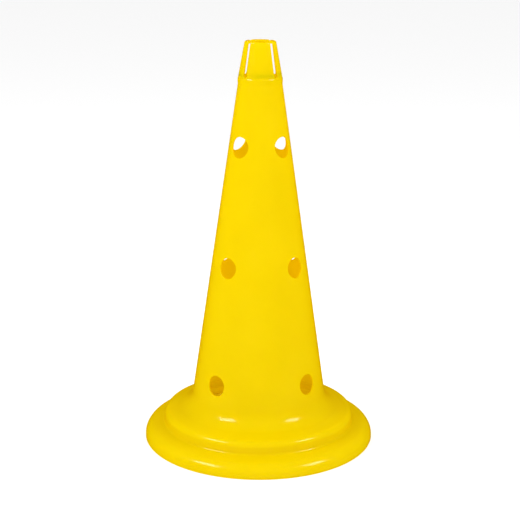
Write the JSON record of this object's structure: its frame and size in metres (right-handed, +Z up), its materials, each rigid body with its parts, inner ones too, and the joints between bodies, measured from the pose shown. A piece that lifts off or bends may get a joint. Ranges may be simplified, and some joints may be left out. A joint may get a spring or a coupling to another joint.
{
  "type": "training cone",
  "caption": "Hollow moulded marker cone with crosswise pole holes, stepped round foot and slotted gripping tip.",
  "frame": {"origin": "middle of the foot's underside, on the ground", "axes": "+Z up the cone's axis; the pole holes are bored along X and along Y"},
  "size_m": [0.2892, 0.2892, 0.5],
  "materials": {
    "cone_plastic": "glossy moulded yellow polyethylene"
  },
  "bodies": {
    "shell": {"cone_shell": "cone_plastic"},
    "finger_1": {"grip_finger_1": "cone_plastic"},
    "finger_2": {"grip_finger_2": "cone_plastic"},
    "finger_3": {"grip_finger_3": "cone_plastic"},
    "finger_4": {"grip_finger_4": "cone_plastic"}
  },
  "joints": [
    {"name": "finger_1_flex", "type": "hinge", "parent": "shell", "child": "finger_1", "pos_m": [0.01906, 0.01747, 0.4608], "axis": [-0.6756, 0.7373, 0], "range_deg": [0, 3], "stiffness_Nm_per_rad": 15.5},
    {"name": "finger_2_flex", "type": "hinge", "parent": "shell", "child": "finger_2", "pos_m": [-0.01747, 0.01906, 0.4608], "axis": [-0.7373, -0.6756, 0], "range_deg": [0, 3], "stiffness_Nm_per_rad": 15.5},
    {"name": "finger_3_flex", "type": "hinge", "parent": "shell", "child": "finger_3", "pos_m": [-0.01906, -0.01747, 0.4608], "axis": [0.6756, -0.7373, 0], "range_deg": [0, 3], "stiffness_Nm_per_rad": 15.5},
    {"name": "finger_4_flex", "type": "hinge", "parent": "shell", "child": "finger_4", "pos_m": [0.01747, -0.01906, 0.4608], "axis": [0.7373, 0.6756, 0], "range_deg": [0, 3], "stiffness_Nm_per_rad": 15.5}
  ]
}
